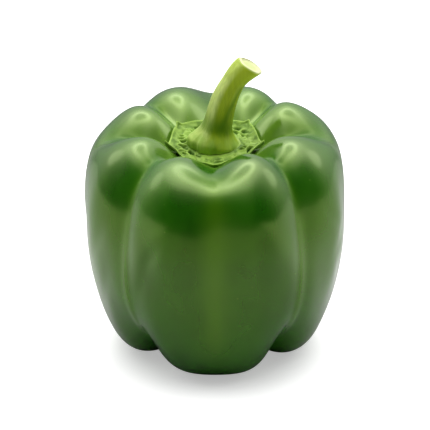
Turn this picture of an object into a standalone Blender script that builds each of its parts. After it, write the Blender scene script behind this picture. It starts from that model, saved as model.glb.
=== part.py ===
"""Bell pepper: a blocky four-lobed fruit, the calyx on top of it and the cut stem, each one closed solid.

The fruit's surface is a cubic B-spline through rings of control points, from the middle of the calyx
plate, over the shoulder, down the side and under the feet to the blossom end. Each ring changes around
the fruit with the phase: 0 on the ridge of a lobe, 1 in the groove beside it.
"""

import math
from collections import namedtuple

import bpy
import numpy as np

# Driving dimensions, in metres
BODY_RADIUS = 0.046
BODY_HEIGHT = 0.0834
CALYX_RADIUS = 0.0146
STEM_RADIUS = 0.0038
GAP = 0.0003

# The stretch of the surface, as shares from the calyx plate to the blossom end, that rests on the ground
FOOT_STARTS_AT = 0.853
FOOT_ENDS_AT = 0.885

# How finely the surfaces are divided
STEPS_PER_HALF_LOBE = 12
SIDE_ROWS = 27
FOOT_ROWS = 3
BLOSSOM_ROWS = 5
STEM_SIDES = 48
STEM_ROWS = 20

# One control ring. radius and height are those of a lobe's ridge. inset and drop lead from the ridge to
# the groove, dent and dip to the cleft in the middle of the lobe. power and soft shape the groove, and
# tilt lowers the front and lifts the back. Radii are shares of BODY_RADIUS, heights of BODY_HEIGHT.
Ring = namedtuple("Ring", "radius height inset drop dent dip power soft tilt")
RINGS = (
    Ring(0.000, 0.850, 0.000, 0.000, 0.000, 0.000, 2.0, 0.12, 0.000),
    Ring(0.130, 0.850, 0.000, 0.000, 0.000, 0.000, 2.0, 0.12, 0.005),
    Ring(0.280, 0.840, 0.000, 0.005, 0.000, 0.005, 2.0, 0.12, 0.010),
    Ring(0.380, 0.910, 0.025, 0.045, 0.000, 0.055, 2.7, 0.10, 0.015),
    Ring(0.525, 0.985, 0.035, 0.100, 0.000, 0.080, 3.2, 0.08, 0.015),
    Ring(0.745, 1.000, 0.070, 0.050, 0.000, 0.080, 1.6, 0.07, 0.015),
    Ring(0.970, 0.860, 0.110, 0.040, 0.020, -0.005, 2.2, 0.06, 0.005),
    Ring(1.015, 0.670, 0.090, 0.040, 0.040, 0.000, 2.8, 0.06, 0.000),
    Ring(0.975, 0.425, 0.030, -0.010, 0.035, 0.000, 3.4, 0.06, 0.000),
    Ring(0.890, 0.225, 0.045, 0.000, 0.005, 0.000, 3.0, 0.07, 0.000),
    Ring(0.730, -0.005, 0.160, -0.100, 0.015, 0.005, 3.6, 0.09, 0.000),
    Ring(0.350, -0.025, 0.085, -0.105, 0.000, -0.005, 3.6, 0.12, 0.000),
    Ring(0.150, 0.120, 0.000, -0.020, 0.000, 0.000, 2.0, 0.20, 0.000),
    Ring(0.000, 0.145, 0.000, 0.000, 0.000, 0.000, 2.0, 0.20, 0.000),
)
RING = Ring(*(np.array(column) for column in zip(*RINGS)))
SHOULDER_SHARE = np.array((0, 0, 0, 0.3, 1, 1, 0.6, 0, 0, 0, 0, 0, 0, 0))
SIDE_SHARE = np.array((0, 0, 0, 0, 0, 0, 0.5, 1, 1, 0.7, 0.3, 0, 0, 0))
SPLINE_DEGREE = 3

# One lobe: the angle of its ridge, how much its shoulder rises, leans to its left and moves out, how much
# its side moves out, and how deep its cleft is
Lobe = namedtuple("Lobe", "angle rise lean out girth cleft")
LOBES = (
    Lobe(-90.0, -0.0014, 0.0004, -0.0010, 0.0001, 0.80),
    Lobe(-1.0, 0.0018, 0.0006, -0.0016, 0.0003, 1.25),
    Lobe(91.0, 0.0007, 0.0000, 0.0003, -0.0001, 1.10),
    Lobe(181.0, 0.0003, 0.0003, -0.0018, -0.0005, 1.20),
)
LOBE = Lobe(*(np.array(column) for column in zip(*LOBES)))

# The groove after each lobe: its angle, how narrow it is and how deep, as factors on the rings' values
Groove = namedtuple("Groove", "angle power depth")
GROOVES = (
    Groove(-48.5, 1.40, 0.93),
    Groove(47.0, 1.05, 1.00),
    Groove(138.5, 1.20, 0.85),
    Groove(226.0, 1.25, 0.92),
)
GROOVE = Groove(*(np.array(column) for column in zip(*GROOVES)))
RISE_STARTS_AT = 0.030
RISE_FULL_AT = 0.080
RISE_INNER_RADIUS = 0.015

# The cleft's width and softness as shares of a lobe's half, and the thin rib in the floor of a groove
CLEFT_WIDTH = 0.78
CLEFT_SOFT = 0.07
RIB_HEIGHT = 0.0003
RIB_WIDTH = 0.045
RIB_FOOT = 0.008
RIB_TOP = 0.068
RIB_FADE = 0.010
RIB_INNER_RADIUS = 0.030
RIB_RADIUS_FADE = 0.005

# The calyx: its pointed tips as (angle, length, width in degrees), and its profile from the middle, over
# the rim and back underneath, as (share of the rim's radius, height above the fruit)
CALYX_TIPS = (
    (193.0, 0.0019, 14.0),
    (-6.0, 0.0017, 14.0),
    (137.0, 0.0030, 16.0),
    (49.0, 0.0030, 16.0),
    (-88.0, 0.0010, 26.0),
    (94.0, 0.0008, 16.0),
    (-135.0, 0.0006, 16.0),
    (-45.0, 0.0007, 16.0),
)
TIP_POINT = 3.0
TIP_FALL = 1.6
CALYX_PROFILE = (
    (0.00, 0.0021),
    (0.30, 0.0021),
    (0.50, 0.0020),
    (0.60, 0.0018),
    (0.67, 0.0016),
    (0.74, 0.0015),
    (0.81, 0.0016),
    (0.87, 0.0018),
    (0.92, 0.0020),
    (0.96, 0.0022),
    (0.99, 0.0022),
    (1.005, 0.0020),
    (1.000, 0.0017),
    (0.975, 0.0012),
    (0.92, 0.0008),
    (0.80, 0.00035),
    (0.60, 0.00035),
    (0.30, 0.00035),
    (0.00, 0.00035),
)
CRINKLE_FROM = 0.60
CRINKLE_TO = 0.95
CRINKLE_DEPTH = 0.0004
CRINKLE_FOLDS = 15
CRINKLE_ROWS = 2.0
MOST_CALYX_RADIUS = 0.0180
CAVITY_ENDS_AT = 0.38

# The stem: the control points of its axis, and (share of its length, share of STEM_RADIUS) up its side
STEM_AXIS = (
    (-0.0004, 0.0003, 0.0738),
    (-0.0002, 0.0003, 0.0772),
    (0.0004, 0.0003, 0.0822),
    (0.0016, 0.0003, 0.0873),
    (0.0041, 0.0003, 0.0931),
    (0.0077, 0.0003, 0.0982),
    (0.0116, 0.0003, 0.1010),
)
STEM_PROFILE = (
    (0.00, 2.34),
    (0.03, 2.24),
    (0.06, 1.98),
    (0.10, 1.60),
    (0.14, 1.36),
    (0.20, 1.24),
    (0.30, 1.18),
    (0.42, 1.10),
    (0.56, 1.02),
    (0.72, 0.98),
    (0.82, 0.99),
    (0.89, 1.05),
    (0.95, 1.15),
    (0.99, 1.19),
    (1.00, 1.19),
)
CUT_RINGS = ((0.93, 0.0003), (0.55, 0.0001), (0.0, 0.0))
CUT_SLANT = 0.34
SLANT_STARTS_AT = 0.72
STEM_RIBS = 5
STEM_RIB_DEPTH = 0.03
STEM_TWIST = 0.15
STEM_RIB_START = -0.84
COLLAR_SCALLOPS = 8
COLLAR_SCALLOP_DEPTH = 0.06
COLLAR_ENDS_AT = 0.14
COLLAR_EDGE_HEIGHT = 0.0004

# Colours, linear RGB, with roughness
SKIN = ((0.034, 0.120, 0.008), 0.22)
CALYX_GREEN = ((0.140, 0.310, 0.060), 0.55)
STEM_GREEN = ((0.260, 0.420, 0.060), 0.50)


def clear_scene():
    for obj in list(bpy.data.objects):
        bpy.data.objects.remove(obj, do_unlink=True)


def material(name, finish):
    colour, roughness = finish
    made = bpy.data.materials.new(name)
    made.use_nodes = True
    shader = made.node_tree.nodes["Principled BSDF"]
    shader.inputs["Base Color"].default_value = (*colour, 1.0)
    shader.inputs["Roughness"].default_value = roughness
    shader.inputs["Metallic"].default_value = 0.0
    return made


def spline_weights(count, t):
    """The weight of each of count control points at t, on a clamped uniform cubic B-spline."""
    inner = np.linspace(0, 1, count - SPLINE_DEGREE + 1)
    knots = np.concatenate((np.zeros(SPLINE_DEGREE), inner, np.ones(SPLINE_DEGREE)))
    t = np.clip(t, 0, 1 - 1e-9)[..., None]
    weights = ((t >= knots[:-1]) & (t < knots[1:])).astype(float)
    for step in range(1, SPLINE_DEGREE + 1):
        size = len(knots) - step - 1
        before = np.maximum(knots[step:step + size] - knots[:size], 1e-12)
        after = np.maximum(knots[step + 1:step + 1 + size] - knots[1:1 + size], 1e-12)
        rising = (t - knots[:size]) / before
        falling = (knots[step + 1:step + 1 + size] - t) / after
        weights = rising * weights[..., :size] + falling * weights[..., 1:size + 1]
    return weights


def lobe_bounds(number):
    """The groove before the lobe and the groove after it, in degrees."""
    before = GROOVES[number - 1].angle - (360 if number == 0 else 0)
    return before, GROOVES[number].angle


def lobe_phase(theta):
    """The signed phase at each angle, -1 to 1 from groove to groove, and the number of the lobe."""
    degrees = np.degrees(theta)
    phase = np.zeros(degrees.shape)
    number = np.zeros(degrees.shape, int)
    for i, lobe in enumerate(LOBES):
        low, high = lobe_bounds(i)
        turned = (degrees - low) % 360 + low
        half = np.where(turned < lobe.angle, lobe.angle - low, high - lobe.angle)
        phase = np.where(turned < high, (turned - lobe.angle) / half, phase)
        number = np.where(turned < high, i, number)
    return phase, number


def soft_abs(value, softness):
    """value from 0 to 1, its start at 0 rounded off by softness."""
    top = np.sqrt(1 + softness * softness) - softness
    return (np.sqrt(value * value + softness * softness) - softness) / top


def fade(value, start, length):
    return np.clip((value - start) / length, 0, 1)


def control_rings(theta):
    """Each control ring's radius and height at each angle; the rings are the last axis."""
    phase, number = lobe_phase(theta)
    near_groove = np.abs(phase)
    neighbour = np.where(phase >= 0, number + 1, number - 1) % len(LOBES)
    mix = 0.5 * near_groove ** 2 * (3 - 2 * near_groove)
    rise = LOBE.rise[number] * (1 - mix) + LOBE.rise[neighbour] * mix
    rise = rise + 2 * LOBE.lean[number] * phase * (1 - near_groove ** 2)
    out = LOBE.out[number] * (1 - mix) + LOBE.out[neighbour] * mix
    girth = LOBE.girth[number] * (1 - mix) + LOBE.girth[neighbour] * mix
    inside_cleft = np.clip(1 - near_groove / CLEFT_WIDTH, 0, 1)
    cleft = LOBE.cleft[number] * (1 - soft_abs(1 - inside_cleft, CLEFT_SOFT)) ** 2
    beside = np.where(phase >= 0, number, number - 1) % len(GROOVES)
    groove = 1 - soft_abs((1 - near_groove)[..., None], RING.soft)
    groove = GROOVE.depth[beside][..., None] * groove ** (RING.power * GROOVE.power[beside][..., None])
    cleft = cleft[..., None]
    radius = BODY_RADIUS * (RING.radius - RING.inset * groove - RING.dent * cleft)
    radius = radius + out[..., None] * SHOULDER_SHARE + girth[..., None] * SIDE_SHARE
    height = RING.height - RING.drop * groove - RING.dip * cleft + RING.tilt * np.sin(theta)[..., None]
    share = fade(BODY_HEIGHT * RING.height, RISE_STARTS_AT, RISE_FULL_AT - RISE_STARTS_AT)
    share = share * fade(BODY_RADIUS * RING.radius, 0, RISE_INNER_RADIUS)
    return radius, BODY_HEIGHT * height + rise[..., None] * share


def fruit_radius_and_height(t, theta):
    """The fruit's surface at t, from the calyx plate at 0 to the blossom end at 1."""
    radii, heights = control_rings(theta)
    weights = spline_weights(len(RINGS), t)
    radius = (weights * radii).sum(-1)
    height = (weights * heights).sum(-1)
    phase, _ = lobe_phase(theta)
    shown = fade(height, RIB_FOOT, RIB_FADE) * (1 - fade(height, RIB_TOP - RIB_FADE, RIB_FADE))
    shown = shown * fade(radius, RIB_INNER_RADIUS, RIB_RADIUS_FADE)
    rib = RIB_HEIGHT * np.exp(-((1 - np.abs(phase)) / RIB_WIDTH) ** 2)
    return radius + rib * shown, np.maximum(height, 0)


def cavity_height(radius, theta):
    """The height of the fruit's top at this radius, found by halving the range of t."""
    radii, heights = control_rings(theta)
    low = np.zeros(radius.shape)
    high = np.full(radius.shape, CAVITY_ENDS_AT)
    for _ in range(24):
        middle = (low + high) / 2
        reached = (spline_weights(len(RINGS), middle) * radii).sum(-1)
        low = np.where(reached < radius, middle, low)
        high = np.where(reached < radius, high, middle)
    return (spline_weights(len(RINGS), low) * heights).sum(-1)


def around_angles():
    """Angles right round the fruit, closer together near each groove and each cleft."""
    step = np.arange(STEPS_PER_HALF_LOBE) / STEPS_PER_HALF_LOBE
    eased = step - 0.7 * np.sin(2 * math.pi * step) / (2 * math.pi)
    angles = []
    for i, lobe in enumerate(LOBES):
        low, high = lobe_bounds(i)
        angles.extend(low + (lobe.angle - low) * eased)
        angles.extend(lobe.angle + (high - lobe.angle) * eased)
    return np.radians(angles)


def polar_points(radius, theta, height):
    return np.stack((radius * np.cos(theta), radius * np.sin(theta), height), -1)


def row_shares():
    """The shares of the surface at which its rows lie, closer together on the flat spots of the feet."""
    side = np.linspace(0, FOOT_STARTS_AT, SIDE_ROWS, endpoint=False)
    foot = np.linspace(FOOT_STARTS_AT, FOOT_ENDS_AT, FOOT_ROWS)
    blossom = np.linspace(FOOT_ENDS_AT, 1, BLOSSOM_ROWS + 1)[1:]
    return np.concatenate((side, foot, blossom))


def fruit_rows():
    t, theta = np.meshgrid(row_shares(), around_angles(), indexing="ij")
    radius, height = fruit_radius_and_height(t, theta)
    return polar_points(radius, theta, height)


def calyx_rim(theta):
    """The rim's radius: round, with a pointed tip at each angle in CALYX_TIPS."""
    degrees = np.degrees(theta)
    radius = np.full(degrees.shape, CALYX_RADIUS)
    for angle, length, width in CALYX_TIPS:
        away = np.abs((degrees - angle + 180) % 360 - 180)
        rounded = np.sqrt(away ** 2 + TIP_POINT ** 2) - TIP_POINT
        radius = radius + length * np.exp(-TIP_FALL * rounded / width)
    return radius


def calyx_crinkle(share, theta):
    """Pits in the ring between the collar and the rim: folds around crossed with rows outward."""
    inside = fade(share, CRINKLE_FROM, 0.06) * (1 - fade(share, CRINKLE_TO - 0.06, 0.06))
    across = 2 * math.pi * CRINKLE_ROWS * (share - CRINKLE_FROM) / (CRINKLE_TO - CRINKLE_FROM)
    folds = np.sin(CRINKLE_FOLDS * theta + 1.5 * np.sin(3 * theta)) * np.sin(across + 2 * np.sin(2 * theta))
    return CRINKLE_DEPTH * inside * (folds - 0.4)


def calyx_rows():
    theta = around_angles()[None, :]
    share, above = (np.array(column)[:, None] for column in zip(*CALYX_PROFILE))
    upper = np.arange(len(share))[:, None] <= share.argmax()
    radius = share * calyx_rim(theta)
    theta = np.broadcast_to(theta, radius.shape)
    under = cavity_height(np.minimum(radius, MOST_CALYX_RADIUS), theta)
    crinkle = np.where(upper, calyx_crinkle(np.broadcast_to(share, radius.shape), theta), 0)
    return polar_points(radius, theta, under + above + crinkle)


def calyx_top(radius, theta):
    """The height of the calyx's smooth middle, on which the stem's collar sits."""
    share, above = zip(*CALYX_PROFILE[:6])
    thickness = np.interp(radius / CALYX_RADIUS, share, above)
    return cavity_height(radius, theta) + thickness


def stem_frame(along):
    """The axis point, its direction and two directions across it, at each share of the length."""
    control = np.array(STEM_AXIS)
    axis = spline_weights(len(control), along) @ control
    ahead = spline_weights(len(control), np.minimum(along + 0.01, 1)) @ control
    behind = spline_weights(len(control), np.maximum(along - 0.01, 0)) @ control
    forward = (ahead - behind) / np.linalg.norm(ahead - behind, axis=-1, keepdims=True)
    across = np.cross((0.0, 1.0, 0.0), forward)
    across = across / np.linalg.norm(across, axis=-1, keepdims=True)
    return axis, forward, across, np.cross(forward, across)


def stem_outline(along, turn):
    """The stem's radius: ribbed up its length, flared and scalloped at the collar."""
    radius = STEM_RADIUS * np.interp(along, *zip(*STEM_PROFILE))
    ribs = STEM_RIB_DEPTH * np.cos(STEM_RIBS * (turn - STEM_RIB_START + STEM_TWIST * along))
    collar = 1 - fade(along, 0, COLLAR_ENDS_AT)
    scallops = -COLLAR_SCALLOP_DEPTH * np.abs(np.cos(0.5 * COLLAR_SCALLOPS * turn)) ** 3
    return radius * (1 + ribs * (1 - collar) + scallops * collar)


def stem_rows():
    """Rows from the middle of the cut end down the side, and under the collar to its middle."""
    turn = np.linspace(0, 2 * math.pi, STEM_SIDES, endpoint=False)[None, :]
    along = np.linspace(0, 1, STEM_ROWS)[:, None] ** 1.3
    axis, forward, across, beside = stem_frame(along[:, 0])
    outline = stem_outline(along, turn)
    slant = CUT_SLANT * outline * np.cos(turn) * fade(along, SLANT_STARTS_AT, 1 - SLANT_STARTS_AT)
    wheel = np.cos(turn)[..., None] * across[:, None] + np.sin(turn)[..., None] * beside[:, None]
    side = axis[:, None] + outline[..., None] * wheel + slant[..., None] * forward[:, None]
    cut = [axis[-1] + share * (side[-1] - axis[-1]) + raised * forward[-1] for share, raised in CUT_RINGS]
    theta = np.arctan2(side[0, :, 1], side[0, :, 0])
    reach = np.hypot(side[0, :, 0], side[0, :, 1])
    under = []
    for share, lift in ((0.0, 0.0), (0.5, 0.0), (0.92, 0.0), (1.0, COLLAR_EDGE_HEIGHT)):
        radius = share * reach
        under.append(polar_points(radius, theta, calyx_top(radius, theta) + GAP + lift))
    return np.stack((*cut[::-1], *side[::-1], *under[::-1]))


def add_piece(name, rows, finish):
    """One closed object from rows of points, the first and the last of which are each one point."""
    count, sides = rows.shape[:2]
    last = 1 + (count - 2) * sides
    points = np.concatenate((rows[0, :1], rows[1:-1].reshape(-1, 3), rows[-1, :1]))
    faces = []
    for j in range(sides):
        k = (j + 1) % sides
        faces.append((0, 1 + j, 1 + k))
        for i in range(count - 3):
            upper = 1 + i * sides
            lower = upper + sides
            faces.append((upper + j, lower + j, lower + k, upper + k))
        faces.append((last - sides + k, last - sides + j, last))
    mesh = bpy.data.meshes.new(name)
    mesh.from_pydata(points.tolist(), [], faces)
    mesh.shade_smooth()
    mesh.set_sharp_from_angle(angle=math.radians(50))
    mesh.materials.append(material(name, finish))
    obj = bpy.data.objects.new(name, mesh)
    bpy.context.scene.collection.objects.link(obj)
    return obj


def main():
    clear_scene()
    fruit = fruit_rows()
    low, high = fruit.min((0, 1)), fruit.max((0, 1))
    to_middle = -0.5 * (low + high) * (1, 1, 0)
    add_piece("fruit", fruit + to_middle, SKIN)
    add_piece("calyx", calyx_rows() + to_middle, CALYX_GREEN)
    add_piece("stem", stem_rows() + to_middle, STEM_GREEN)


main()
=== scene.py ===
"""Bell pepper on a pale floor: the glossy skin, the crinkled calyx and the ribbed, cut stem.

Every surface is a grid of points worked out from the same control rings, rim and axis as the solids
under it, only finer. Sizes are in metres and angles in degrees unless a name says otherwise.
"""

import math
from collections import namedtuple

import bpy
import numpy as np
from bpy.props import FloatProperty, FloatVectorProperty, IntProperty, PointerProperty
from mathutils import Matrix, Vector


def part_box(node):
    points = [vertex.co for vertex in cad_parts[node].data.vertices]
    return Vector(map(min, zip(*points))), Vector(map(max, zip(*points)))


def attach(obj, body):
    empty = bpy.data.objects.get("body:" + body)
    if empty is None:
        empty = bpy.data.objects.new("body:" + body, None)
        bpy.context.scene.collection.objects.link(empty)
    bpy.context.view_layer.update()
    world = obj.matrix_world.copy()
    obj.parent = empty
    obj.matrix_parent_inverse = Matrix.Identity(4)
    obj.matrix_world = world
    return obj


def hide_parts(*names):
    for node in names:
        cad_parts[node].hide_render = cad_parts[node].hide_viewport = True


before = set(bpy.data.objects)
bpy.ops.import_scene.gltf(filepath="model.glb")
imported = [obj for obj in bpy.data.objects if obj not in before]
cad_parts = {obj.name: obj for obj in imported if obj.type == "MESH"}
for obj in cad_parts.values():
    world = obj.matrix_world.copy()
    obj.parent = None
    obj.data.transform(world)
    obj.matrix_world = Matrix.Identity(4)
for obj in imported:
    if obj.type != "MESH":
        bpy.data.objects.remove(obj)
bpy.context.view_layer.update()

bl_info = {
    "name": "Bell Pepper",
    "version": (1, 0, 0),
    "blender": (4, 5, 0),
    "location": "View3D > Sidebar > Pepper",
    "description": "Builds a blocky green bell pepper with its calyx and cut stem",
    "category": "Add Mesh",
}

FRUIT_LOW, FRUIT_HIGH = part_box("fruit")

# How far the control rings reach beyond the surface that they make
RADIUS_REACH = 1.0450
HEIGHT_REACH = 1.0118
SPLINE_DEGREE = 3

# One control ring. radius and height are those of a lobe's ridge. inset and drop lead from the ridge to
# the groove, dent and dip to the cleft in the middle of the lobe. power and soft shape the groove, and
# tilt lowers the front and lifts the back. Radii are shares of the body's radius, heights of its height.
Ring = namedtuple("Ring", "radius height inset drop dent dip power soft tilt")
RINGS = (
    Ring(0.000, 0.850, 0.000, 0.000, 0.000, 0.000, 2.0, 0.12, 0.000),
    Ring(0.130, 0.850, 0.000, 0.000, 0.000, 0.000, 2.0, 0.12, 0.005),
    Ring(0.280, 0.840, 0.000, 0.005, 0.000, 0.005, 2.0, 0.12, 0.010),
    Ring(0.380, 0.910, 0.025, 0.045, 0.000, 0.055, 2.7, 0.10, 0.015),
    Ring(0.525, 0.985, 0.035, 0.100, 0.000, 0.080, 3.2, 0.08, 0.015),
    Ring(0.745, 1.000, 0.070, 0.050, 0.000, 0.080, 1.6, 0.07, 0.015),
    Ring(0.970, 0.860, 0.110, 0.040, 0.020, -0.005, 2.2, 0.06, 0.005),
    Ring(1.015, 0.670, 0.090, 0.040, 0.040, 0.000, 2.8, 0.06, 0.000),
    Ring(0.975, 0.425, 0.030, -0.010, 0.035, 0.000, 3.4, 0.06, 0.000),
    Ring(0.890, 0.225, 0.045, 0.000, 0.005, 0.000, 3.0, 0.07, 0.000),
    Ring(0.730, -0.005, 0.160, -0.100, 0.015, 0.005, 3.6, 0.09, 0.000),
    Ring(0.350, -0.025, 0.085, -0.105, 0.000, -0.005, 3.6, 0.12, 0.000),
    Ring(0.150, 0.120, 0.000, -0.020, 0.000, 0.000, 2.0, 0.20, 0.000),
    Ring(0.000, 0.145, 0.000, 0.000, 0.000, 0.000, 2.0, 0.20, 0.000),
)
RING = Ring(*(np.array(column) for column in zip(*RINGS)))
# How much of a lobe's out and girth each ring takes
SHOULDER_SHARE = np.array((0, 0, 0, 0.3, 1, 1, 0.6, 0, 0, 0, 0, 0, 0, 0))
SIDE_SHARE = np.array((0, 0, 0, 0, 0, 0, 0.5, 1, 1, 0.7, 0.3, 0, 0, 0))

# One lobe: the angle of its ridge, how much its shoulder rises, leans to its left and moves out, how much
# its side moves out, and how deep its cleft is
Lobe = namedtuple("Lobe", "angle rise lean out girth cleft")
LOBES = (
    Lobe(-90.0, -0.0014, 0.0004, -0.0010, 0.0001, 0.60),
    Lobe(-1.0, 0.0018, 0.0006, -0.0016, 0.0003, 1.25),
    Lobe(91.0, 0.0007, 0.0000, 0.0003, -0.0001, 1.10),
    Lobe(181.0, 0.0003, 0.0003, -0.0018, -0.0005, 1.20),
)
LOBE = Lobe(*(np.array(column) for column in zip(*LOBES)))

# The groove after each lobe: its angle, how narrow it is and how deep, as factors on the rings' values
Groove = namedtuple("Groove", "angle power depth")
GROOVES = (
    Groove(-48.5, 1.40, 0.93),
    Groove(47.0, 1.05, 1.00),
    Groove(138.5, 1.20, 0.85),
    Groove(226.0, 1.25, 0.92),
)
GROOVE = Groove(*(np.array(column) for column in zip(*GROOVES)))
RISE_STARTS_AT = 0.030
RISE_FULL_AT = 0.080
RISE_INNER_RADIUS = 0.015
CLEFT_WIDTH = 0.78
CLEFT_SOFT = 0.12

# Widths of the colour masks across a lobe, as shares of the way from its ridge to its groove
SEAM_WIDTH = 0.13
CREASE_WIDTH = 0.05
GROOVE_VALLEY_WIDTH = 0.20
CLEFT_VALLEY_WIDTH = 0.32

# The thin rib in the floor of each groove
RIB_HEIGHT = 0.0003
RIB_WIDTH = 0.045
RIB_FOOT = 0.008
RIB_TOP = 0.068
RIB_FADE = 0.010
RIB_INNER_RADIUS = 0.030
RIB_RADIUS_FADE = 0.005

# Gentle unevenness of the skin: (wavelength, height, how much longer it runs up the fruit)
SKIN_WAVES = ((0.034, 0.00022, 1.6), (0.019, 0.00026, 2.2), (0.0105, 0.00010, 3.0))
WAVES_EACH = 7
WAVE_SEED = 11
WAVES_START_RADIUS = 0.022
WAVES_FADE = 0.008
WAVES_FOOT_FADE = 0.012
# Shallow slanting dents: (angle, height, length, width, depth, slant)
SKIN_DENTS = (
    (-118.0, 0.050, 0.0070, 0.0022, 0.00030, 35.0),
    (-29.0, 0.056, 0.0070, 0.0022, 0.00030, -40.0),
    (-124.0, 0.038, 0.0080, 0.0022, 0.00026, 20.0),
    (-20.0, 0.034, 0.0080, 0.0024, 0.00026, -25.0),
    (-152.0, 0.047, 0.0080, 0.0024, 0.00026, 30.0),
    (-150.0, 0.030, 0.0080, 0.0024, 0.00022, 25.0),
    (-22.0, 0.048, 0.0070, 0.0022, 0.00024, 30.0),
    (62.0, 0.048, 0.0060, 0.0020, 0.00026, 30.0),
    (150.0, 0.052, 0.0070, 0.0022, 0.00026, -35.0),
)

# The calyx: its rim without the tips, as (angle, share of the calyx's radius)
CALYX_RIM = (
    (-168.0, 1.04),
    (-152.0, 1.02),
    (-135.0, 1.02),
    (-113.0, 1.04),
    (-90.0, 1.05),
    (-65.0, 1.03),
    (-42.0, 1.01),
    (-24.0, 1.00),
    (-6.0, 1.02),
    (12.0, 0.99),
    (27.0, 1.00),
    (46.0, 1.03),
    (62.0, 1.00),
    (90.0, 0.99),
    (118.0, 1.01),
    (140.0, 1.04),
    (158.0, 1.04),
    (175.0, 1.03),
)
RIM_SOFTNESS = 9.0
# Its tips, as (angle, length, width in degrees). A vein runs to each, also where the length is 0
CALYX_TIPS = (
    (192.0, 0.0016, 9.0),
    (-6.0, 0.0014, 9.0),
    (140.0, 0.0013, 11.0),
    (46.0, 0.0013, 11.0),
    (-100.0, 0.0, 16.0),
    (94.0, 0.0004, 16.0),
    (-140.0, 0.0, 16.0),
    (-45.0, 0.0, 16.0),
)
NUB_ANGLES = tuple(angle for angle, length, _ in CALYX_TIPS if length > 0.001)
TIP_POINT = 3.0
TIP_FALL = 1.6
# Its profile from the middle, over the rim and back underneath, as (share of the rim, height above the
# seat that it lies on)
CALYX_PROFILE = (
    (0.00, 0.0021),
    (0.30, 0.0021),
    (0.50, 0.0020),
    (0.60, 0.0018),
    (0.67, 0.0016),
    (0.74, 0.0015),
    (0.81, 0.0016),
    (0.87, 0.0018),
    (0.92, 0.0020),
    (0.96, 0.0022),
    (0.99, 0.0022),
    (1.005, 0.0020),
    (1.000, 0.0017),
    (0.975, 0.0012),
    (0.92, 0.0008),
    (0.80, 0.00035),
    (0.60, 0.00035),
    (0.30, 0.00035),
    (0.00, 0.00035),
)
CALYX_COLUMNS = 420
CALYX_ROWS = 150
ROW_SOFTNESS = 0.35
# The rows of the profile where its upper side ends and where the lip turns down onto the fruit
CALYX_UPPER_ROWS = 11
LIP_TURNS_AT = 12.0
# The shallow, tilted bowl under the calyx: its height as a share of the body, and its shape
PLATE_SHARE = 0.850
PLATE_RADIUS = 0.0150
PLATE_BOWL = 0.0017
PLATE_TILT = 0.0017
SEAT_SOFTNESS = 0.0005
MOST_CALYX_RADIUS = 0.0180
CAVITY_ENDS_AT = 0.38
NUB_LENGTH = 0.0005
NUB_HEIGHT = 0.0007
NUB_WIDTH = 3.2
VEIN_HEIGHT = 0.0004
VEIN_WIDTH = 0.0011
PIT_FROM = 0.58
PIT_TO = 0.88
PIT_DEPTH = 0.0015
BANK_HEIGHT = 0.0004
PIT_CELLS = 64
PIT_SHARE = 0.95
PIT_SEED = 5
PIT_WANDER = 0.0006
CRUMPLE = 0.00009
LEAST_THICKNESS = 0.0004

# The stem: the control points of its axis, and (share of its length, share of its radius) up its side
STEM_AXIS = (
    (-0.0003, 0.0003, 0.0738),
    (0.0004, 0.0003, 0.0772),
    (0.0014, 0.0003, 0.0822),
    (0.0025, 0.0003, 0.0873),
    (0.0047, 0.0003, 0.0931),
    (0.0078, 0.0003, 0.0982),
    (0.0114, 0.0003, 0.1010),
)
STEM_PROFILE = (
    (0.00, 2.36),
    (0.03, 2.14),
    (0.06, 1.86),
    (0.10, 1.56),
    (0.14, 1.38),
    (0.20, 1.26),
    (0.30, 1.22),
    (0.42, 1.19),
    (0.56, 1.15),
    (0.72, 1.06),
    (0.82, 1.01),
    (0.89, 1.05),
    (0.95, 1.12),
    (0.99, 1.15),
    (1.00, 1.15),
)
PROFILE_SOFTNESS = 0.02
STEM_RIBS = 5
STEM_RIB_DEPTH = 0.030
STEM_TWIST = 0.15
STEM_RIB_START = -0.84
# The furrow is cut into the stem and also darkened in colour as painted shade
FURROW_ANGLE = -1.50
FURROW_TWIST = 1.0
FURROW_WIDTH = 0.36
FURROW_DEPTH = 0.06
# The side of the stem that faces this way is made paler as painted light from above
LIT_SIDE_ANGLE = -2.95
STRIATIONS = 46
STRIATION_DEPTH = 0.008
STEM_COLUMNS = 240
STEM_ROWS = 170
CUT_ROWS = 22
COLLAR_ROWS = 16
CUT_SLANT = 0.34
CUT_EDGE_WIDTH = 0.20
CUT_EDGE_HEIGHT = 0.0008
COLLAR_NOTCHES = (-88.0, -35.0, -142.0, 28.0, 90.0, 150.0)
COLLAR_TIPS = (-177.0, -3.0)
COLLAR_TIP_LENGTH = 0.05
COLLAR_TIP_WIDTH = 9.0
COLLAR_BACK_SHORTER = 0.14
COLLAR_FRONT_SHORTER = 0.14
COLLAR_NOTCH_DEPTH = 0.07
COLLAR_NOTCH_WIDTH = 8.0
COLLAR_ENDS_AT = 0.14
COLLAR_EDGE_HEIGHT = 0.0001
GAP = 0.0001

# The skin's coat of wax: (height where it starts, height where it is full, least, most)
TOP_WAX = (0.066, 0.076, 0.0, 0.65)
SIDE_WAX = (0.058, 0.044, 0.10, 0.50)

# The studio
SENSOR_WIDTH_MM = 36.0
FLOOR_SIDE = 4.0
SOFTBOX_DIRECTION = (0.0, 0.22, 1.0)
# The cosines from that direction at each light's outer edge and where it is full
SOFTBOX_REACH = (0.72, 0.95)
RING_REACH = (0.905, 0.945)
MIDDLE_REACH = (0.966, 0.990)
PANEL_DIRECTIONS = ((-1.0, 0.36, 0.76), (1.0, 0.36, 0.76))
PANEL_REACH = (0.965, 0.985)
FLOOR_DEPTH = 0.0002
FLOOR_GLOW = 0.42
# Where the mirrored floor changes beside, far in front of and behind the pepper: (from, to)
BESIDE_BORDER = (-0.02, 0.15)
FAR_BORDER = (-0.22, -0.56)
BEHIND_BORDER = (-0.03, 0.10)
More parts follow.
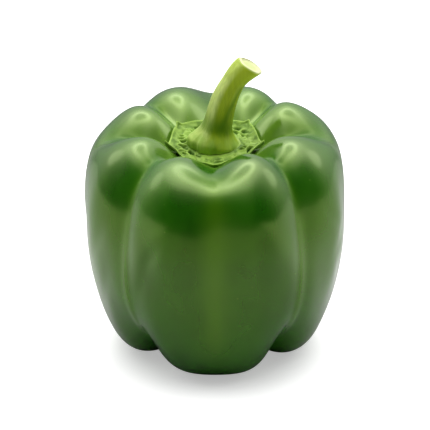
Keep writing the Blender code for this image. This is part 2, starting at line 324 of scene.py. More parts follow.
# Where the front's gloom gives way to the walls and how it brightens overhead, by direction: (from, to)
WALL_BORDER = (-0.50, 0.62)
GLOOM_RISE = (0.40, 0.97)
GLOOM_POWER = 3.4


def length_property(name, description, default):
    return FloatProperty(name=name, description=description, default=default, unit="LENGTH")


def colour_property(name, description, default):
    return FloatVectorProperty(name=name, description=description, default=default, subtype="COLOR")


def brightness_property(name, description, default):
    return FloatProperty(name=name, description=description, default=default, min=0.0)


class PepperSizes(bpy.types.PropertyGroup):
    body_width: length_property(
        "Body width",
        "Width of the fruit across two lobes",
        FRUIT_HIGH.x - FRUIT_LOW.x,
    )
    body_height: length_property(
        "Body height",
        "Height of the fruit from its feet to its highest shoulder",
        FRUIT_HIGH.z - FRUIT_LOW.z,
    )
    calyx_radius: length_property("Calyx radius", "Radius of the calyx between its tips", 0.0146)
    stem_radius: length_property("Stem radius", "Radius of the stem halfway up", 0.0038)
    around: IntProperty(
        name="Steps round the fruit",
        description="Columns of the fruit's surface in half a lobe",
        default=46,
        min=8,
    )
    along: IntProperty(
        name="Rows down the fruit",
        description="Rows of the fruit's surface from the calyx to the blossom end",
        default=250,
        min=30,
    )


class PepperColours(bpy.types.PropertyGroup):
    skin_deep: colour_property("Deep skin", "Darkest green of the skin", (0.004, 0.064, 0.0002))
    skin_fresh: colour_property("Fresh skin", "Lighter green of the skin", (0.012, 0.096, 0.0008))
    skin_seam: colour_property(
        "Seam",
        "Yellower green down the middle of each lobe and on the ribs",
        (0.055, 0.160, 0.0020),
    )
    # Paler green round the calyx: partly the skin's own colour, partly painted light on the inward slopes
    skin_hollow_and_painted_light: colour_property(
        "Hollow",
        "Paler green of the hollow round the calyx",
        (0.095, 0.215, 0.015),
    )
    # The calyx's pale green also lightens the raised banks between the pits as painted light
    calyx_light: colour_property(
        "Calyx rim",
        "Pale green of the calyx's lip and banks, and of the collar",
        (0.290, 0.460, 0.070),
    )
    # The calyx's deep green, which also darkens the pits as painted shade
    calyx_dark_and_pit_shade: colour_property("Calyx pits", "Deep green of the calyx's pits", (0.022, 0.090, 0.003))
    # Pale green: painted light on the stem's left face and rib crests, and the streaks on the cut face
    stem_pale_and_lit_side: colour_property("Pale stem", "Pale green of the stem's left face", (0.600, 0.720, 0.240))
    # Deep green of the streaks and the foot, and painted shade in the furrow
    stem_deep: colour_property(
        "Stem furrows",
        "Deep green of the stem's furrows and foot",
        (0.080, 0.200, 0.001),
    )
    stem_ripe: colour_property(
        "Stem below the cut",
        "Yellow green just below the cut",
        (0.360, 0.480, 0.010),
    )
    cut_face: colour_property("Cut face", "Cream of the cut end", (0.720, 0.750, 0.420))
    floor: colour_property("Floor", "Pale floor", (0.86, 0.86, 0.86))
    floor_beside: colour_property(
        "Floor beside, reflected",
        "Floor to the sides and the back, as the pepper mirrors it",
        (0.62, 0.62, 0.62),
    )
    floor_behind: colour_property(
        "Floor behind, reflected",
        "Floor straight behind, as the pepper mirrors it",
        (0.24, 0.24, 0.24),
    )
    floor_near_front: colour_property(
        "Floor in front, reflected",
        "Floor just in front, as the pepper mirrors it",
        (0.30, 0.30, 0.30),
    )
    floor_far_front: colour_property(
        "Far floor in front, reflected",
        "Floor far in front, as the pepper mirrors it",
        (0.015, 0.015, 0.015),
    )


class PepperStudio(bpy.types.PropertyGroup):
    elevation: FloatProperty(
        name="Camera elevation",
        description="How far above level the camera looks down from",
        default=math.radians(25.0),
        subtype="ANGLE",
    )
    distance: length_property("Camera distance", "From the camera to the point that it aims at", 1.0)
    aim_height: length_property("Aim height", "Height of the point that the camera aims at", 0.0467)
    picture_width: length_property(
        "Picture width",
        "Width that the picture covers at the aim point",
        0.14604,
    )
    softbox: brightness_property(
        "Softbox",
        "Brightness of the wide soft light overhead, a little behind the pepper",
        3.1,
    )
    ring: brightness_property("Ring lamp", "Brightness that the ring lamp inside the softbox adds", 2.3)
    middle: brightness_property("Ring's middle", "Share of the softbox's brightness inside the ring", 0.9)
    panels: brightness_property("Side panels", "Brightness that the small panel on each side adds", 1.2)
    walls: brightness_property("Walls", "Brightness high on the walls, to the sides and the back", 2.2)
    horizon: brightness_property(
        "Horizon beside",
        "Brightness of the walls to the sides, at the horizon",
        0.65,
    )
    horizon_behind: brightness_property(
        "Horizon behind",
        "Brightness of the wall behind, at the horizon",
        0.36,
    )
    front_top: brightness_property("Front ceiling", "Brightness overhead on the camera's side", 0.8)
    front: brightness_property("Dark front", "Brightness of the dark side that the camera stands on", 0.04)


# Curves and grids


def spline_weights(count, t):
    """The weight of each of count control points at t, on a clamped uniform cubic B-spline."""
    inner = np.linspace(0, 1, count - SPLINE_DEGREE + 1)
    knots = np.concatenate((np.zeros(SPLINE_DEGREE), inner, np.ones(SPLINE_DEGREE)))
    t = np.clip(t, 0, 1 - 1e-9)[..., None]
    weights = ((t >= knots[:-1]) & (t < knots[1:])).astype(float)
    for step in range(1, SPLINE_DEGREE + 1):
        size = len(knots) - step - 1
        before = np.maximum(knots[step:step + size] - knots[:size], 1e-12)
        after = np.maximum(knots[step + 1:step + 1 + size] - knots[1:1 + size], 1e-12)
        rising = (t - knots[:size]) / before
        falling = (knots[step + 1:step + 1 + size] - t) / after
        weights = rising * weights[..., :size] + falling * weights[..., 1:size + 1]
    return weights


def soft_abs(value, softness):
    """value from 0 to 1, its start at 0 rounded off by softness."""
    top = np.sqrt(1 + softness * softness) - softness
    return (np.sqrt(value * value + softness * softness) - softness) / top


def fade(value, start, length):
    """0 before start, 1 after start + length, and a smooth step between them."""
    share = np.clip((value - start) / length, 0, 1)
    return share * share * (3 - 2 * share)


def straight_fade(value, start, length):
    return np.clip((value - start) / length, 0, 1)


def degrees_apart(degrees, angle):
    return np.abs((degrees - angle + 180) % 360 - 180)


def polar_points(radius, theta, height):
    return np.stack((radius * np.cos(theta), radius * np.sin(theta), height), -1)


def bell(value, width):
    """A bell curve: 1 at 0 and falling off on both sides over width."""
    return np.exp(-(value / width) ** 2)


def bells(degrees, angles, width):
    """The sum of a bell curve round each of the angles."""
    return sum(bell(degrees_apart(degrees, angle), width) for angle in angles)


def smooth_reading(place, places, values, softness, readings, period=None):
    """A table read with its corners rounded: the mean of a few readings within softness of the place."""
    offsets = np.linspace(-softness, softness, readings)
    return np.mean([np.interp(place + offset, places, values, period=period) for offset in offsets], axis=0)


def closed_piece(name, rows, **masks):
    """A mesh object from rows of points round the piece; its first and last rows are each one point.

    Each mask is a value per point, kept as an attribute of that name.
    """
    count, sides = rows.shape[:2]
    middle = rows[1:-1].reshape(-1, 3)
    points = np.concatenate((rows[0, :1], middle, rows[-1, :1])).astype(np.float32)
    column = np.arange(sides)
    beside = (column + 1) % sides
    upper = 1 + sides * np.arange(count - 3)[:, None]
    quads = np.stack((upper + column, upper + sides + column, upper + sides + beside, upper + beside), -1)
    last = 1 + (count - 2) * sides
    top = np.stack((np.zeros(sides, int), 1 + column, 1 + beside), -1)
    bottom = np.stack((last - sides + beside, last - sides + column, np.full(sides, last)), -1)
    corners = np.concatenate((quads.ravel(), top.ravel(), bottom.ravel()))
    sizes = np.concatenate((np.full(quads.size // 4, 4), np.full(2 * sides, 3)))
    starts = np.concatenate(([0], np.cumsum(sizes)[:-1]))
    mesh = bpy.data.meshes.new(name)
    mesh.vertices.add(len(points))
    mesh.vertices.foreach_set("co", points.ravel())
    mesh.loops.add(len(corners))
    mesh.loops.foreach_set("vertex_index", corners.astype(np.int32))
    mesh.polygons.add(len(sizes))
    mesh.polygons.foreach_set("loop_start", starts.astype(np.int32))
    mesh.update(calc_edges=True)
    mesh.shade_smooth()
    for label, values in masks.items():
        flat = np.concatenate((values[0, :1], values[1:-1].ravel(), values[-1, :1]))
        attribute = mesh.attributes.new(label, "FLOAT", "POINT")
        attribute.data.foreach_set("value", flat.astype(np.float32))
    obj = bpy.data.objects.new(name, mesh)
    bpy.context.scene.collection.objects.link(obj)
    return obj


def waves(points, wavelength, stretch, seed):
    """Gentle noise from -1 to 1: the mean of a few sine waves that cross at random, longer along z."""
    drawn = np.random.default_rng(seed)
    total = np.zeros(points.shape[:-1])
    for _ in range(WAVES_EACH):
        direction = drawn.normal(size=3)
        direction = direction / np.linalg.norm(direction) * (1, 1, 1 / stretch)
        turns = points @ direction / (wavelength * drawn.uniform(0.75, 1.35))
        total = total + np.sin(2 * math.pi * (turns + drawn.uniform()))
    return total / math.sqrt(WAVES_EACH)


# The fruit's form


def lobe_bounds(number):
    """The groove before the lobe and the groove after it, in degrees."""
    before = GROOVES[number - 1].angle - (360 if number == 0 else 0)
    return before, GROOVES[number].angle


def lobe_phase(theta):
    """The signed phase at each angle, -1 to 1 from groove to groove, and the number of the lobe."""
    degrees = np.degrees(theta)
    phase = np.zeros(degrees.shape)
    number = np.zeros(degrees.shape, int)
    for i, lobe in enumerate(LOBES):
        low, high = lobe_bounds(i)
        turned = (degrees - low) % 360 + low
        half = np.where(turned < lobe.angle, lobe.angle - low, high - lobe.angle)
        phase = np.where(turned < high, (turned - lobe.angle) / half, phase)
        number = np.where(turned < high, i, number)
    return phase, number


def control_rings(theta, sizes):
    """Each control ring's radius and height at each angle; the rings are the last axis."""
    body_radius = RADIUS_REACH * sizes.body_width / 2
    body_height = HEIGHT_REACH * sizes.body_height
    phase, number = lobe_phase(theta)
    near_groove = np.abs(phase)
    neighbour = np.where(phase >= 0, number + 1, number - 1) % len(LOBES)
    mix = 0.5 * near_groove ** 2 * (3 - 2 * near_groove)
    rise = LOBE.rise[number] * (1 - mix) + LOBE.rise[neighbour] * mix
    rise = rise + 2 * LOBE.lean[number] * phase * (1 - near_groove ** 2)
    out = LOBE.out[number] * (1 - mix) + LOBE.out[neighbour] * mix
    girth = LOBE.girth[number] * (1 - mix) + LOBE.girth[neighbour] * mix
    inside_cleft = np.clip(1 - near_groove / CLEFT_WIDTH, 0, 1)
    cleft = LOBE.cleft[number] * (1 - soft_abs(1 - inside_cleft, CLEFT_SOFT)) ** 2
    beside = np.where(phase >= 0, number, number - 1) % len(GROOVES)
    groove = 1 - soft_abs((1 - near_groove)[..., None], RING.soft)
    groove = GROOVE.depth[beside][..., None] * groove ** (RING.power * GROOVE.power[beside][..., None])
    cleft = cleft[..., None]
    radius = body_radius * (RING.radius - RING.inset * groove - RING.dent * cleft)
    radius = radius + out[..., None] * SHOULDER_SHARE + girth[..., None] * SIDE_SHARE
    height = RING.height - RING.drop * groove - RING.dip * cleft + RING.tilt * np.sin(theta)[..., None]
    share = straight_fade(body_height * RING.height, RISE_STARTS_AT, RISE_FULL_AT - RISE_STARTS_AT)
    share = share * straight_fade(body_radius * RING.radius, 0, RISE_INNER_RADIUS)
    return radius, body_height * height + rise[..., None] * share


def groove_rib(radius, theta, height):
    """How far the thin rib in each groove's floor stands out: a bell curve across the groove."""
    phase, _ = lobe_phase(theta)
    shown = straight_fade(height, RIB_FOOT, RIB_FADE)
    shown = shown * (1 - straight_fade(height, RIB_TOP - RIB_FADE, RIB_FADE))
    shown = shown * straight_fade(radius, RIB_INNER_RADIUS, RIB_RADIUS_FADE)
    return RIB_HEIGHT * bell(1 - np.abs(phase), RIB_WIDTH) * shown


def skin_relief(radius, theta, height):
    """Low waves all over the skin and a few slanting dents, none of it under the calyx or the feet."""
    points = polar_points(radius, theta, height)
    relief = sum(
        depth * waves(points, length, stretch, WAVE_SEED + i)
        for i, (length, depth, stretch) in enumerate(SKIN_WAVES)
    )
    for angle, middle, length, width, depth, slant in SKIN_DENTS:
        across = radius * np.radians((np.degrees(theta) - angle + 180) % 360 - 180)
        up = height - middle
        turn = math.radians(slant)
        along = up * math.cos(turn) + across * math.sin(turn)
        aside = across * math.cos(turn) - up * math.sin(turn)
        relief = relief - depth * bell(along, length) * bell(aside, width)
    return relief * fade(radius, WAVES_START_RADIUS, WAVES_FADE) * fade(height, 0, WAVES_FOOT_FADE)


def fruit_radius_and_height(t, theta, sizes):
    """The fruit's surface at t, from the calyx plate at 0 to the blossom end at 1."""
    radii, heights = control_rings(theta, sizes)
    weights = spline_weights(len(RINGS), t)
    radius = (weights * radii).sum(-1)
    height = (weights * heights).sum(-1)
    radius = radius + groove_rib(radius, theta, height)
    return radius + skin_relief(radius, theta, height), np.maximum(height, 0)


def cavity_height(radius, theta, sizes):
    """The height of the fruit's top at this radius, found by halving the range of t."""
    radii, heights = control_rings(theta, sizes)
    low = np.zeros(radius.shape)
    high = np.full(radius.shape, CAVITY_ENDS_AT)
    for _ in range(20):
        middle = (low + high) / 2
        reached = (spline_weights(len(RINGS), middle) * radii).sum(-1)
        low = np.where(reached < radius, middle, low)
        high = np.where(reached < radius, high, middle)
    return (spline_weights(len(RINGS), low) * heights).sum(-1)


def calyx_seat(radius, theta, sizes):
    """What the calyx lies on: the higher of the fruit's top and a shallow, tilted bowl, softly joined."""
    top = cavity_height(radius, theta, sizes)
    share = radius / PLATE_RADIUS
    bowl = PLATE_SHARE * sizes.body_height + PLATE_BOWL * share ** 2 + PLATE_TILT * share * np.sin(theta)
    return (top + bowl + np.sqrt((top - bowl) ** 2 + SEAT_SOFTNESS ** 2)) / 2


def to_middle(sizes):
    """From the fruit's core, where the stem stands, to the middle of its box in plan."""
    t, theta = np.meshgrid(np.linspace(0, 1, 120), around_angles(30), indexing="ij")
    radii, heights = control_rings(theta, sizes)
    radius = (spline_weights(len(RINGS), t) * radii).sum(-1)
    points = polar_points(radius, theta, 0 * radius)
    return -0.5 * (points.min((0, 1)) + points.max((0, 1)))


def around_angles(steps):
    """Angles right round the fruit, closer together near each groove and each cleft."""
    step = np.arange(steps) / steps
    eased = step - 0.6 * np.sin(2 * math.pi * step) / (2 * math.pi)
    angles = []
    for i, lobe in enumerate(LOBES):
        low, high = lobe_bounds(i)
        angles.extend(low + (lobe.angle - low) * eased)
        angles.extend(lobe.angle + (high - lobe.angle) * eased)
    return np.radians(angles)


def fruit_surface(sizes):
    """The fruit's rows of points, with masks for seams, ribs, the hollow and the valleys round it."""
    theta = around_angles(sizes.around)
    t = np.linspace(0, 1, sizes.along)
    t, theta = np.meshgrid(t, theta, indexing="ij")
    radius, height = fruit_radius_and_height(t, theta, sizes)
    phase, _ = lobe_phase(theta)
    near_groove = np.abs(phase)
    side = fade(radius, 0.026, 0.012) * fade(height, 0.004, 0.02)
    seam = bell(near_groove, SEAM_WIDTH) * side
    crease = bell(1 - near_groove, CREASE_WIDTH)
    upper = height > sizes.body_height / 2
    # hollow: paler towards the calyx, partly the skin's own colour and partly painted light
    hollow = (1 - fade(radius, 0.016, 0.016)) * upper
    # valley: where the skin's reflection and coat are dimmed as painted shade, in the grooves and clefts near
    # the calyx
    valley = np.maximum(bell(1 - near_groove, GROOVE_VALLEY_WIDTH), bell(near_groove, CLEFT_VALLEY_WIDTH))
    valley = valley * fade(radius, 0.020, 0.006) * (1 - fade(radius, 0.034, 0.005)) * upper
    masks = {"seam": seam, "crease": crease, "hollow": hollow, "valley": valley}
    return polar_points(radius, theta, height), masks


# The calyx's form


def calyx_rim(theta, sizes):
    """The rim's radius: a rounded reading of CALYX_RIM, with a tip at each angle in CALYX_TIPS."""
    degrees = np.degrees(theta)
    angles, shares = zip(*CALYX_RIM)
    radius = sizes.calyx_radius * smooth_reading(degrees, angles, shares, RIM_SOFTNESS, 9, 360)
    for angle, length, width in CALYX_TIPS:
        rounded = np.sqrt(degrees_apart(degrees, angle) ** 2 + TIP_POINT ** 2) - TIP_POINT
        radius = radius + length * np.exp(-TIP_FALL * rounded / width)
    return radius + NUB_LENGTH * bells(degrees, NUB_ANGLES, NUB_WIDTH)


def calyx_pits(points, share):
    """Sunken cells and the raised banks between them, from the distances to the nearest two seeds."""
    drawn = np.random.default_rng(PIT_SEED)
    reach = np.sqrt(drawn.uniform(0.0080 ** 2, 0.0140 ** 2, PIT_CELLS))
    turn = 2 * math.pi * (np.arange(PIT_CELLS) * 0.618034 % 1) + drawn.normal(0, 0.2, PIT_CELLS)
    sunken = (drawn.uniform(size=PIT_CELLS) < PIT_SHARE) * drawn.uniform(0.6, 1.0, PIT_CELLS)
    seeds = np.stack((reach * np.cos(turn), reach * np.sin(turn)), -1)
    nearest = np.full(points.shape[:-1], 1.0)
    second = np.full(points.shape[:-1], 1.0)
    depth = np.zeros(points.shape[:-1])
    for seed, depth_here in zip(seeds, sunken):
        distance = np.hypot(points[..., 0] - seed[0], points[..., 1] - seed[1])
        second = np.minimum(second, np.maximum(distance, nearest))
        depth = np.where(distance < nearest, depth_here, depth)
        nearest = np.minimum(nearest, distance)
    shown = fade(share, PIT_FROM, 0.05) * (1 - fade(share, PIT_TO - 0.10, 0.10))
    pits = fade(second - nearest, 0.0003, 0.0013) * depth * shown
    banks = (1 - fade(second - nearest, 0.0, 0.0012)) * shown
    return pits, banks


def calyx_veins(theta, radius):
    """Ridges from the collar out to each tip, a bell curve across each."""
    degrees = np.degrees(theta)
    veins = np.zeros(degrees.shape)
    for angle, _, _ in CALYX_TIPS:
        aside = radius * np.radians(degrees_apart(degrees, angle))
        veins = np.maximum(veins, bell(aside, VEIN_WIDTH))
    return veins


def calyx_surface(sizes):
    """The calyx's rows: its profile stretched to the rim at each angle, over its seat on the fruit."""
    theta = np.linspace(-math.pi, math.pi, CALYX_COLUMNS, endpoint=False)[None, :]
    place = np.linspace(0, 1, CALYX_ROWS)[:, None] ** 0.9 * (len(CALYX_PROFILE) - 1)
    numbers = np.arange(len(CALYX_PROFILE))
    shares, heights = zip(*CALYX_PROFILE)
    share = smooth_reading(place, numbers, shares, ROW_SOFTNESS, 5)
    above = smooth_reading(place, numbers, heights, ROW_SOFTNESS, 5)
    share[0] = share[-1] = 0
    upper = fade(-place, -CALYX_UPPER_ROWS, 1.0)
    radius = share * calyx_rim(theta, sizes)
    theta = np.broadcast_to(theta, radius.shape)
    share = np.broadcast_to(share, radius.shape)
    reached = np.minimum(radius, MOST_CALYX_RADIUS)
    lowered = fade(place, LIP_TURNS_AT, 1.5) * fade(np.sin(theta), -0.3, 0.5)
    under = calyx_seat(reached, theta, sizes)
    under = under + lowered * (cavity_height(reached, theta, sizes) - under)
    flat = polar_points(radius, theta, under)
    front = np.exp(-(degrees_apart(np.degrees(theta), -90.0) / 38.0) ** 4)
    wander = PIT_WANDER * np.stack((waves(flat, 0.005, 1.0, 7), waves(flat, 0.005, 1.0, 8)), -1)
    pits, banks = calyx_pits(flat[..., :2] + wander, share)
    pits = pits * upper * (1 - 0.4 * front)
    banks = banks * upper * (1 - 0.5 * front)
    veins = calyx_veins(theta, radius) * fade(share, PIT_FROM, 0.15) * upper
    pits = pits * (1 - veins)
    crumple = waves(flat, 0.0020, 1.0, 3) + 1.5 * waves(flat, 0.0042, 1.0, 4)
    crumple = crumple * fade(share, 0.5, 0.2) * (1 - 0.6 * fade(share, 0.84, 0.08)) * upper
    nubs = bells(np.degrees(theta), NUB_ANGLES, NUB_WIDTH)
    lip = fade(share, 0.88, 0.07) * upper
    relief = VEIN_HEIGHT * veins * (1 - lip) - PIT_DEPTH * pits + BANK_HEIGHT * banks + CRUMPLE * crumple
    relief = relief + NUB_HEIGHT * nubs * fade(share, 0.93, 0.05) * upper
    points = polar_points(radius, theta, under + above + np.maximum(relief, LEAST_THICKNESS - above))
    # The pits and banks masks carry painted shade into the pits and painted light onto the banks
    return points, {"pits": pits, "banks": banks, "lip": fade(share, 0.955, 0.03) * upper}


def calyx_top(radius, theta, sizes):
    """The height of the calyx's smooth middle, on which the stem's collar sits."""
    share, above = zip(*CALYX_PROFILE[:6])
    thickness = np.interp(radius / sizes.calyx_radius, share, above)
    return calyx_seat(radius, theta, sizes) + thickness


# The stem's form


def stem_frame(along):
    """The axis point, its direction and two directions across it, at each share of the length."""
    control = np.array(STEM_AXIS)
    axis = spline_weights(len(control), along) @ control
    ahead = spline_weights(len(control), np.minimum(along + 0.01, 1)) @ control
    behind = spline_weights(len(control), np.maximum(along - 0.01, 0)) @ control
    forward = (ahead - behind) / np.linalg.norm(ahead - behind, axis=-1, keepdims=True)
    across = np.cross((0.0, 1.0, 0.0), forward)
    across = across / np.linalg.norm(across, axis=-1, keepdims=True)
    return axis, forward, across, np.cross(forward, across)


def stem_outline(along, turn, sizes):
    """The stem's radius, ribbed, furrowed and flared at the collar, with its masks for painted light on the
    left face and rib crests and for painted shade in the furrow.
    """
    radius = sizes.stem_radius * smooth_reading(along, *zip(*STEM_PROFILE), PROFILE_SOFTNESS, 7)
    ribs = np.cos(STEM_RIBS * (turn - STEM_RIB_START + STEM_TWIST * along))
    aside = (turn - FURROW_ANGLE - FURROW_TWIST * along + math.pi) % (2 * math.pi) - math.pi
    furrow = bell(aside, FURROW_WIDTH * (1 - 0.45 * along)) * (1 - 0.20 * along)
    furrow = furrow * fade(along, 0.08, 0.10) * (1 - fade(along, 0.80, 0.12))
    lines = np.sin(STRIATIONS * turn + 3 * np.sin(4 * turn + 2 * along)) * np.sin(9 * turn + 5 * along)
    collar = 1 - straight_fade(along, 0, COLLAR_ENDS_AT)
    notches = COLLAR_NOTCH_DEPTH * bells(np.degrees(turn), COLLAR_NOTCHES, COLLAR_NOTCH_WIDTH)
    notches = notches + COLLAR_BACK_SHORTER * np.maximum(np.sin(turn), 0)
    notches = notches + COLLAR_FRONT_SHORTER * np.maximum(-np.sin(turn), 0) ** 2
    notches = notches - COLLAR_TIP_LENGTH * bells(np.degrees(turn), COLLAR_TIPS, COLLAR_TIP_WIDTH)
    body = STEM_RIB_DEPTH * ribs - FURROW_DEPTH * furrow + STRIATION_DEPTH * lines
    # Painted light: paler on the left face, which faces up, and on the rib crests
    pale = fade(np.cos(turn - LIT_SIDE_ANGLE), 0.40, 0.45) + 0.22 * ribs
    return radius * (1 + body * (1 - collar) - notches * collar ** 2), pale, furrow


def stem_surface(sizes):
    """Rows from the middle of the cut end down the side, and under the collar to its middle."""
    turn = np.linspace(0, 2 * math.pi, STEM_COLUMNS, endpoint=False)[None, :]
    along = np.linspace(0, 1, STEM_ROWS)[:, None] ** 1.15
    axis, forward, across, beside = stem_frame(along[:, 0])
    outline, pale, furrow = stem_outline(along, turn, sizes)
    wheel = np.cos(turn)[..., None] * across[:, None] + np.sin(turn)[..., None] * beside[:, None]
    slant = CUT_SLANT * outline * np.cos(turn) * fade(along, 0.72, 0.28)
    side = axis[:, None] + outline[..., None] * wheel + slant[..., None] * forward[:, None]
    end, middle, ahead = side[-1], axis[-1], forward[-1]
    quarter = np.linspace(0, math.pi / 2, 9)[1:]
    face = np.linspace(0.83, 0, CUT_ROWS)
    inward = np.concatenate((1 - CUT_EDGE_WIDTH * (1 - np.cos(quarter)), face))
    raised = CUT_EDGE_HEIGHT * np.concatenate((np.sin(quarter), 1 - 0.7 * fade(1 - face, 0.1, 0.3)))
    cut = np.array([middle + share * (end - middle) + up * ahead for share, up in zip(inward, raised)])
    theta = np.arctan2(side[0, :, 1], side[0, :, 0])
    reach = np.hypot(side[0, :, 0], side[0, :, 1])
    under = []
    for share in np.linspace(0, 1, COLLAR_ROWS):
        radius = share * reach
        lift = COLLAR_EDGE_HEIGHT * fade(np.full(radius.shape, share), 0.8, 0.2)
        under.append(polar_points(radius, theta, calyx_top(radius, theta, sizes) + GAP + lift))
    rows = np.concatenate((cut[::-1], side[::-1], np.array(under)[::-1]))
    above, below = np.ones(cut.shape[:2]), np.ones((COLLAR_ROWS, turn.size))
    masks = {
        "height": np.concatenate((above, np.broadcast_to(along, outline.shape)[::-1], 0 * below)),
        "pale": np.concatenate((above, pale[::-1], below)),
        "furrow": np.concatenate((0 * above, furrow[::-1], 0 * below)),
        "centre": np.concatenate((above - inward[::-1, None], 0 * outline, 0 * below)),
        "sawn": np.concatenate((above * (inward[::-1, None] < 0.95), 0 * outline, 0 * below)),
    }
    return rows, masks


# Shader helpers


def add_node(tree, kind, inputs=None, **settings):
    """A node with its settings, and each input either linked to a socket or given a value."""
    made = tree.nodes.new(kind)
    for name, value in settings.items():
        setattr(made, name, value)
    for name, value in (inputs or {}).items():
        if isinstance(value, bpy.types.NodeSocket):
            tree.links.new(value, made.inputs[name])
        else:
            made.inputs[name].default_value = value
    return made


def mixed(tree, factor, first, second):
    """The colour between first and second at factor."""
    made = add_node(tree, "ShaderNodeMix", data_type="RGBA")
    for index, value in ((0, factor), (6, first), (7, second)):
        if isinstance(value, bpy.types.NodeSocket):
            tree.links.new(value, made.inputs[index])
        else:
            made.inputs[index].default_value = value if index == 0 else (*value, 1.0)
    return made.outputs[2]


def maths(tree, operation, first, second=0.0):
    made = add_node(tree, "ShaderNodeMath", {0: first, 1: second}, operation=operation)
    return made.outputs[0]


def times(tree, first, second):
    return maths(tree, "MULTIPLY", first, second)


def ranged(tree, value, low, high, to_low=0.0, to_high=1.0, step="SMOOTHSTEP"):
    """value carried from low..high to to_low..to_high, by a smooth step or in a straight line."""
    inputs = {"Value": value, "From Min": low, "From Max": high, "To Min": to_low, "To Max": to_high}
    return add_node(tree, "ShaderNodeMapRange", inputs, interpolation_type=step).outputs["Result"]


def ranged_straight(tree, value, low, high, to_low, to_high):
    return ranged(tree, value, low, high, to_low, to_high, "LINEAR")


def mixed_values(tree, factor, first, second):
    """The number between first and second at factor."""
    return add_node(tree, "ShaderNodeMix", {0: factor, 2: first, 3: second}, data_type="FLOAT").outputs[0]


def attribute(tree, name):
    return add_node(tree, "ShaderNodeAttribute", attribute_name=name).outputs["Fac"]


def new_group(name, numbers, output):
    """An empty shader group with a vector, named numbers and one output, and its two end nodes."""
    tree = bpy.data.node_groups.new(name, "ShaderNodeTree")
    tree.interface.new_socket(name="Vector", in_out="INPUT", socket_type="NodeSocketVector")
    for label, value in numbers.items():
        socket = tree.interface.new_socket(name=label, in_out="INPUT", socket_type="NodeSocketFloat")
        socket.default_value = value
    tree.interface.new_socket(name=output, in_out="OUTPUT", socket_type="NodeSocketFloat")
    return tree, tree.nodes.new("NodeGroupInput"), tree.nodes.new("NodeGroupOutput")


def place_group(tree, name, place, **values):
    """The output of a shader group placed in the tree with these numbers."""
    inputs = {"Vector": place}
    inputs.update((label.replace("_", " "), value) for label, value in values.items())
    return add_node(tree, "ShaderNodeGroup", inputs, node_tree=bpy.data.node_groups[name]).outputs[0]


def make_mottle_group():
    """Cloudy mask of two sizes of noise, stretched along z."""
    tree, given, result = new_group("Green mottling", {"Scale": 60.0, "Stretch": 1.0}, "Mask")
    shrink = maths(tree, "DIVIDE", 1.0, given.outputs["Stretch"])
    scale = add_node(tree, "ShaderNodeCombineXYZ", {"X": 1.0, "Y": 1.0, "Z": shrink})
    stretched = add_node(tree, "ShaderNodeVectorMath", operation="MULTIPLY")
    tree.links.new(given.outputs["Vector"], stretched.inputs[0])
    tree.links.new(scale.outputs["Vector"], stretched.inputs[1])
    inputs = {"Vector": stretched.outputs[0], "Scale": given.outputs["Scale"], "Detail": 2.0, "Roughness": 0.5}
    noise = add_node(tree, "ShaderNodeTexNoise", inputs)
    tree.links.new(ranged(tree, noise.outputs["Fac"], 0.34, 0.66), result.inputs["Mask"])


def make_speckle_group():
    """Sparse small round dots, each cell of a Voronoi pattern having one or none."""
    tree, given, result = new_group("Pale specks", {"Scale": 500.0, "Size": 0.16, "Share": 0.3}, "Mask")
    inputs = {"Vector": given.outputs["Vector"], "Scale": given.outputs["Scale"]}
    cells = add_node(tree, "ShaderNodeTexVoronoi", inputs)
    shade = add_node(tree, "ShaderNodeSeparateColor", {"Color": cells.outputs["Color"]})
    chosen = maths(tree, "LESS_THAN", shade.outputs["Red"], given.outputs["Share"])
    inside = maths(tree, "SUBTRACT", given.outputs["Size"], cells.outputs["Distance"])
    dot = ranged(tree, inside, 0.0, 0.08)
    tree.links.new(times(tree, dot, chosen), result.inputs["Mask"])


def make_grain_group():
    """Height of a fine grain: small noise over larger soft noise."""
    tree, given, result = new_group("Fine grain", {"Scale": 900.0, "Coarse share": 0.5}, "Height")
    place, scale = given.outputs["Vector"], given.outputs["Scale"]
    fine = add_node(tree, "ShaderNodeTexNoise", {"Vector": place, "Scale": scale, "Detail": 3.0})
    wide = times(tree, scale, 0.16)
    coarse = add_node(tree, "ShaderNodeTexNoise", {"Vector": place, "Scale": wide, "Detail": 2.0})
    scaled = times(tree, coarse.outputs["Fac"], given.outputs["Coarse share"])
    tree.links.new(maths(tree, "ADD", fine.outputs["Fac"], scaled), result.inputs["Height"])


def new_material(name):
    made = bpy.data.materials.new(name)
    made.use_nodes = True
    tree = made.node_tree
    return made, tree, tree.nodes["Principled BSDF"]


def object_coordinates(tree):
    return add_node(tree, "ShaderNodeTexCoord").outputs["Object"]


def bump(tree, height, depth, shader):
    made = add_node(tree, "ShaderNodeBump", {"Height": height, "Distance": depth, "Strength": 1.0})
    tree.links.new(made.outputs["Normal"], shader.inputs["Normal"])


